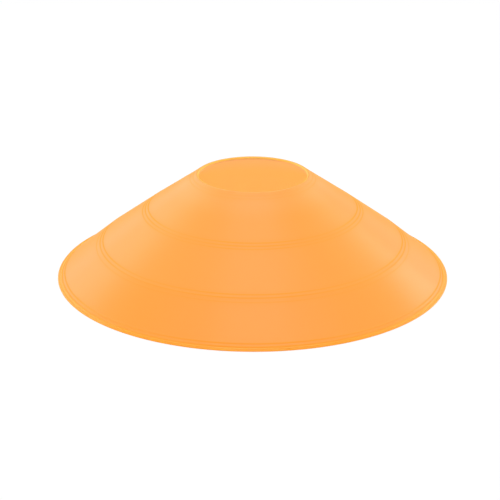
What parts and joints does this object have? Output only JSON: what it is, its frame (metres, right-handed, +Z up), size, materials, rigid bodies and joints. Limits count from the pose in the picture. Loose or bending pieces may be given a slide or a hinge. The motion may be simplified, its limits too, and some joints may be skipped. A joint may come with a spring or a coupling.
{
  "type": "sports marker disc cone",
  "caption": "Low hollow disc cone of translucent orange plastic that marks out a playing field, with fine grip rings round its wall and a round hole at the top.",
  "frame": {"origin": "on the ground, at the centre of the foot's underside", "axes": "+Z up along the disc's axis of symmetry, through the hole in the top"},
  "size_m": [0.19, 0.19, 0.0505],
  "materials": {
    "orange_plastic": "satin gloss, slightly translucent moulded polyethylene"
  },
  "bodies": {
    "root": {"marker_disc": "orange_plastic"}
  },
  "joints": []
}
